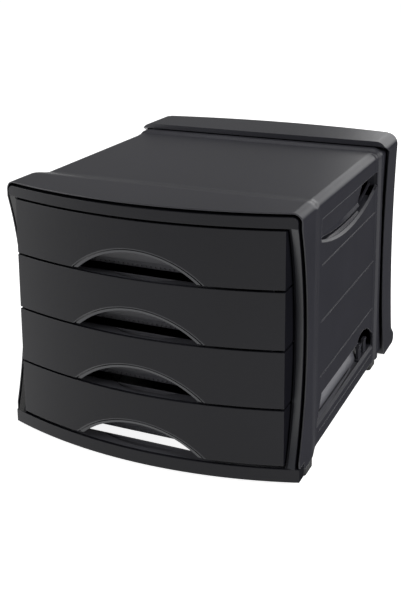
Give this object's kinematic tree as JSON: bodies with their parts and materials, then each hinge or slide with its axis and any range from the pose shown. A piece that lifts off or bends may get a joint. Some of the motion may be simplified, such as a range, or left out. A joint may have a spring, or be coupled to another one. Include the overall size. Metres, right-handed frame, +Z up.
{
  "type": "desktop drawer cabinet",
  "caption": "Black desktop drawer cabinet with bowed drawer fronts, arched finger grips, hollow-sided posts, side hand grips and a flared rear frame.",
  "frame": {"origin": "middle of the footprint, on the floor under the feet", "axes": "+Y to the back (drawers pull out along -Y), +X to the right seen from the front, +Z up"},
  "size_m": [0.291, 0.369, 0.25],
  "materials": {
    "casing_gloss": "gloss, moulded",
    "front_gloss": "gloss, moulded",
    "tray_plastic": "semi-gloss, moulded",
    "inner_plastic": "fine texture",
    "foot_rubber": "matte"
  },
  "bodies": {
    "cabinet": {"cabinet_shell": "casing_gloss", "front_bezel": "front_gloss", "rear_frame": "casing_gloss", "back_panel": "casing_gloss", "base_rail": "inner_plastic", "cross_rail_1": "inner_plastic", "cross_rail_2": "inner_plastic", "cross_rail_3": "inner_plastic", "hand_grip_left": "casing_gloss", "hand_grip_right": "casing_gloss", "slot_liner_left": "inner_plastic", "slot_liner_right": "inner_plastic", "side_clip_left": "casing_gloss", "side_clip_right": "casing_gloss", "foot_front_left": "foot_rubber", "foot_front_right": "foot_rubber", "foot_rear_left": "foot_rubber", "foot_rear_right": "foot_rubber", "runner_left_1": "inner_plastic", "runner_right_1": "inner_plastic", "runner_left_2": "inner_plastic", "runner_right_2": "inner_plastic", "runner_left_3": "inner_plastic", "runner_right_3": "inner_plastic", "runner_left_4": "inner_plastic", "runner_right_4": "inner_plastic"},
    "drawer_1": {"drawer_tray_1": "tray_plastic", "drawer_front_1": "front_gloss"},
    "drawer_2": {"drawer_tray_2": "tray_plastic", "drawer_front_2": "front_gloss"},
    "drawer_3": {"drawer_tray_3": "tray_plastic", "drawer_front_3": "front_gloss"},
    "drawer_4": {"drawer_tray_4": "tray_plastic", "drawer_front_4": "front_gloss"}
  },
  "joints": [
    {"name": "drawer_1_slide", "type": "slide", "parent": "cabinet", "child": "drawer_1", "axis": [0, -1, 0], "range_m": [0, 0.25]},
    {"name": "drawer_2_slide", "type": "slide", "parent": "cabinet", "child": "drawer_2", "axis": [0, -1, 0], "range_m": [0, 0.25]},
    {"name": "drawer_3_slide", "type": "slide", "parent": "cabinet", "child": "drawer_3", "axis": [0, -1, 0], "range_m": [0, 0.25]},
    {"name": "drawer_4_slide", "type": "slide", "parent": "cabinet", "child": "drawer_4", "axis": [0, -1, 0], "range_m": [0, 0.25]}
  ]
}
